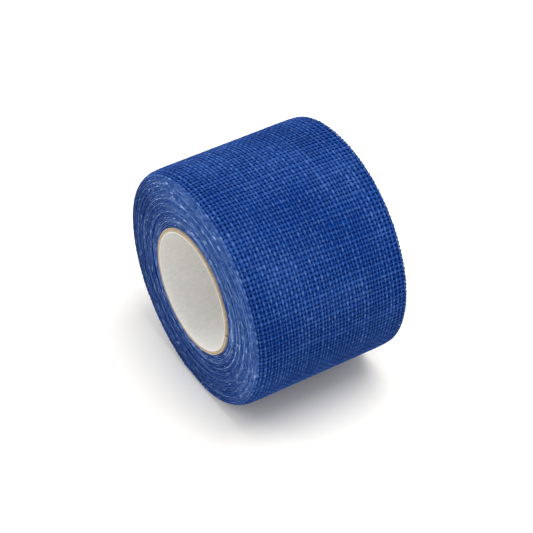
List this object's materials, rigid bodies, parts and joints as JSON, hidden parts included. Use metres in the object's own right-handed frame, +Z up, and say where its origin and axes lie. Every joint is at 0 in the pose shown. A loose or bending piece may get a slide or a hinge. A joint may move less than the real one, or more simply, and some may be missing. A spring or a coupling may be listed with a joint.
{
  "type": "hand wrap tape roll",
  "caption": "Roll of blue self-adhering gauze tape for wrapping hands, wound on a white-lined brown paper core, with a free end that peels",
  "frame": {"origin": "centre of the core's bore, halfway along it", "axes": "+Y along the roll's axis, +Z up with the roll lying on its curved side, +X across the roll"},
  "size_m": [0.037, 0.026, 0.0366],
  "materials": {
    "white_paper": "smooth bleached paper, matt",
    "kraft_paper": "brown kraft board, matt, cut edge",
    "blue_gauze": "open plain-weave cotton gauze, dyed royal blue, thin latex coat, matt"
  },
  "bodies": {
    "roll": {"core_white_liner": "white_paper", "core_kraft_inner_ply": "kraft_paper", "core_kraft_outer_ply": "kraft_paper", "tape_windings": "blue_gauze", "tape_outer_turn": "blue_gauze"},
    "free_end_1": {"tape_free_end_1": "blue_gauze"},
    "free_end_2": {"tape_free_end_2": "blue_gauze"},
    "free_end_3": {"tape_free_end_3": "blue_gauze"},
    "free_end_4": {"tape_free_end_4": "blue_gauze"}
  },
  "joints": [
    {"name": "tape_peel", "type": "hinge", "parent": "roll", "child": "free_end_1", "pos_m": [-0.01609, 0, 0.00925], "axis": [0, 1, 0], "range_deg": [0, 30]},
    {"name": "tape_uncurl_2", "type": "hinge", "parent": "free_end_1", "child": "free_end_2", "pos_m": [-0.01809, 0, 0.00416], "axis": [0, 1, 0], "range_deg": [0, 30]},
    {"name": "tape_uncurl_3", "type": "hinge", "parent": "free_end_2", "child": "free_end_3", "pos_m": [-0.01852, 0, -0.0013], "axis": [0, 1, 0], "range_deg": [0, 30]},
    {"name": "tape_uncurl_4", "type": "hinge", "parent": "free_end_3", "child": "free_end_4", "pos_m": [-0.01733, 0, -0.00668], "axis": [0, 1, 0], "range_deg": [0, 30]}
  ],
  "couplings": [
    {"joint": "tape_uncurl_2", "follows": "tape_peel", "ratio": 1},
    {"joint": "tape_uncurl_3", "follows": "tape_peel", "ratio": 1},
    {"joint": "tape_uncurl_4", "follows": "tape_peel", "ratio": 1}
  ]
}
